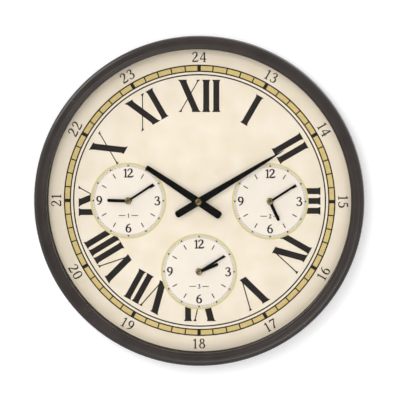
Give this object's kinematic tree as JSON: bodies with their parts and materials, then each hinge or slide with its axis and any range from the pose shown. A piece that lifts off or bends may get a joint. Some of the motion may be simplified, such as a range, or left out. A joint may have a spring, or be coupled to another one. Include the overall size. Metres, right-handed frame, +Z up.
{
  "type": "world time wall clock",
  "caption": "Round wall clock with a large dial, small dials with their own hands for other time zones, a moulded bezel, flat glass and quartz movements behind.",
  "frame": {"origin": "on the main hands' axis, in the wall plane that the bezel's back rim touches", "axes": "+Y into the wall, +Z up towards twelve o'clock, +X to the right seen from the front; the dial faces -Y"},
  "size_m": [0.4, 0.048, 0.4],
  "materials": {
    "bezel_plastic": "satin moulded",
    "clear_glass": "polished",
    "printed_dial": "matt print",
    "back_plastic": "fine texture",
    "zinc_steel": "zinc plated",
    "turned_brass": "turned",
    "black_rubber": "matt",
    "battery_can": "satin sleeve",
    "board_laminate": "lacquered",
    "stator_iron": "stamped",
    "coil_winding": "enamelled copper wire",
    "movement_plastic": "moulded",
    "black_hand": "satin lacquer",
    "gear_plastic": "moulded",
    "knob_plastic": "moulded"
  },
  "bodies": {
    "case": {"bezel": "bezel_plastic", "front_glass": "clear_glass", "spacer_ring": "bezel_plastic", "dial_plate": "printed_dial", "back_cover": "back_plastic", "case_screws": "zinc_steel", "hanger_plate": "zinc_steel", "hanger_screws": "zinc_steel", "bush_nuts": "turned_brass", "dial_washers": "black_rubber", "batteries": "battery_can", "battery_contacts": "zinc_steel", "circuit_boards": "board_laminate", "motor_stators": "stator_iron", "motor_coils": "coil_winding", "main_movement_case": "movement_plastic", "main_movement_cover": "movement_plastic", "left_movement_case": "movement_plastic", "left_movement_cover": "movement_plastic", "right_movement_case": "movement_plastic", "right_movement_cover": "movement_plastic", "lower_movement_case": "movement_plastic", "lower_movement_cover": "movement_plastic"},
    "main_minute": {"main_minute_hand": "black_hand", "main_cap_nut": "turned_brass", "main_minute_arbor": "turned_brass"},
    "main_hour": {"main_hour_hand": "black_hand", "main_hour_wheel": "gear_plastic"},
    "main_setting": {"main_minute_wheel": "gear_plastic", "main_setting_knob": "knob_plastic"},
    "main_third": {"main_third_wheel": "gear_plastic"},
    "main_second": {"main_second_wheel": "gear_plastic"},
    "left_minute": {"left_minute_hand": "black_hand", "left_cap_nut": "turned_brass", "left_minute_arbor": "turned_brass"},
    "left_hour": {"left_hour_hand": "black_hand", "left_hour_wheel": "gear_plastic"},
    "left_setting": {"left_minute_wheel": "gear_plastic", "left_setting_knob": "knob_plastic"},
    "left_third": {"left_third_wheel": "gear_plastic"},
    "left_second": {"left_second_wheel": "gear_plastic"},
    "right_minute": {"right_minute_hand": "black_hand", "right_cap_nut": "turned_brass", "right_minute_arbor": "turned_brass"},
    "right_hour": {"right_hour_hand": "black_hand", "right_hour_wheel": "gear_plastic"},
    "right_setting": {"right_minute_wheel": "gear_plastic", "right_setting_knob": "knob_plastic"},
    "right_third": {"right_third_wheel": "gear_plastic"},
    "right_second": {"right_second_wheel": "gear_plastic"},
    "lower_minute": {"lower_minute_hand": "black_hand", "lower_cap_nut": "turned_brass", "lower_minute_arbor": "turned_brass"},
    "lower_hour": {"lower_hour_hand": "black_hand", "lower_hour_wheel": "gear_plastic"},
    "lower_setting": {"lower_minute_wheel": "gear_plastic", "lower_setting_knob": "knob_plastic"},
    "lower_third": {"lower_third_wheel": "gear_plastic"},
    "lower_second": {"lower_second_wheel": "gear_plastic"}
  },
  "joints": [
    {"name": "main_minute_turn", "type": "hinge", "parent": "case", "child": "main_minute", "pos_m": [0, 0, 0], "axis": [0, 1, 0], "continuous": true},
    {"name": "main_hour_turn", "type": "hinge", "parent": "case", "child": "main_hour", "pos_m": [0, 0, 0], "axis": [0, 1, 0], "continuous": true},
    {"name": "main_setting_turn", "type": "hinge", "parent": "case", "child": "main_setting", "pos_m": [-0.01039, 0, 0.006], "axis": [0, 1, 0], "continuous": true},
    {"name": "main_third_turn", "type": "hinge", "parent": "case", "child": "main_third", "pos_m": [0.01086, 0, 0.00395], "axis": [0, 1, 0], "continuous": true},
    {"name": "main_second_turn", "type": "hinge", "parent": "case", "child": "main_second", "pos_m": [0.0093, 0, 0.01282], "axis": [0, 1, 0], "continuous": true},
    {"name": "left_minute_turn", "type": "hinge", "parent": "case", "child": "left_minute", "pos_m": [-0.0862, 0, 0], "axis": [0, 1, 0], "continuous": true},
    {"name": "left_hour_turn", "type": "hinge", "parent": "case", "child": "left_hour", "pos_m": [-0.0862, 0, 0], "axis": [0, 1, 0], "continuous": true},
    {"name": "left_setting_turn", "type": "hinge", "parent": "case", "child": "left_setting", "pos_m": [-0.09659, 0, 0.006], "axis": [0, 1, 0], "continuous": true},
    {"name": "left_third_turn", "type": "hinge", "parent": "case", "child": "left_third", "pos_m": [-0.07534, 0, 0.00395], "axis": [0, 1, 0], "continuous": true},
    {"name": "left_second_turn", "type": "hinge", "parent": "case", "child": "left_second", "pos_m": [-0.0769, 0, 0.01282], "axis": [0, 1, 0], "continuous": true},
    {"name": "right_minute_turn", "type": "hinge", "parent": "case", "child": "right_minute", "pos_m": [0.0862, 0, 0], "axis": [0, 1, 0], "continuous": true},
    {"name": "right_hour_turn", "type": "hinge", "parent": "case", "child": "right_hour", "pos_m": [0.0862, 0, 0], "axis": [0, 1, 0], "continuous": true},
    {"name": "right_setting_turn", "type": "hinge", "parent": "case", "child": "right_setting", "pos_m": [0.07581, 0, 0.006], "axis": [0, 1, 0], "continuous": true},
    {"name": "right_third_turn", "type": "hinge", "parent": "case", "child": "right_third", "pos_m": [0.09706, 0, 0.00395], "axis": [0, 1, 0], "continuous": true},
    {"name": "right_second_turn", "type": "hinge", "parent": "case", "child": "right_second", "pos_m": [0.0955, 0, 0.01282], "axis": [0, 1, 0], "continuous": true},
    {"name": "lower_minute_turn", "type": "hinge", "parent": "case", "child": "lower_minute", "pos_m": [0, 0, -0.0862], "axis": [0, 1, 0], "continuous": true},
    {"name": "lower_hour_turn", "type": "hinge", "parent": "case", "child": "lower_hour", "pos_m": [0, 0, -0.0862], "axis": [0, 1, 0], "continuous": true},
    {"name": "lower_setting_turn", "type": "hinge", "parent": "case", "child": "lower_setting", "pos_m": [-0.01039, 0, -0.0802], "axis": [0, 1, 0], "continuous": true},
    {"name": "lower_third_turn", "type": "hinge", "parent": "case", "child": "lower_third", "pos_m": [0.01086, 0, -0.08225], "axis": [0, 1, 0], "continuous": true},
    {"name": "lower_second_turn", "type": "hinge", "parent": "case", "child": "lower_second", "pos_m": [0.0093, 0, -0.07338], "axis": [0, 1, 0], "continuous": true}
  ],
  "couplings": [
    {"joint": "main_hour_turn", "follows": "main_minute_turn", "ratio": 0.083333},
    {"joint": "main_setting_turn", "follows": "main_minute_turn", "ratio": -0.33333},
    {"joint": "main_third_turn", "follows": "main_minute_turn", "ratio": -7.5},
    {"joint": "main_second_turn", "follows": "main_minute_turn", "ratio": 60},
    {"joint": "left_hour_turn", "follows": "left_minute_turn", "ratio": 0.083333},
    {"joint": "left_setting_turn", "follows": "left_minute_turn", "ratio": -0.33333},
    {"joint": "left_third_turn", "follows": "left_minute_turn", "ratio": -7.5},
    {"joint": "left_second_turn", "follows": "left_minute_turn", "ratio": 60},
    {"joint": "right_hour_turn", "follows": "right_minute_turn", "ratio": 0.083333},
    {"joint": "right_setting_turn", "follows": "right_minute_turn", "ratio": -0.33333},
    {"joint": "right_third_turn", "follows": "right_minute_turn", "ratio": -7.5},
    {"joint": "right_second_turn", "follows": "right_minute_turn", "ratio": 60},
    {"joint": "lower_hour_turn", "follows": "lower_minute_turn", "ratio": 0.083333},
    {"joint": "lower_setting_turn", "follows": "lower_minute_turn", "ratio": -0.33333},
    {"joint": "lower_third_turn", "follows": "lower_minute_turn", "ratio": -7.5},
    {"joint": "lower_second_turn", "follows": "lower_minute_turn", "ratio": 60}
  ]
}
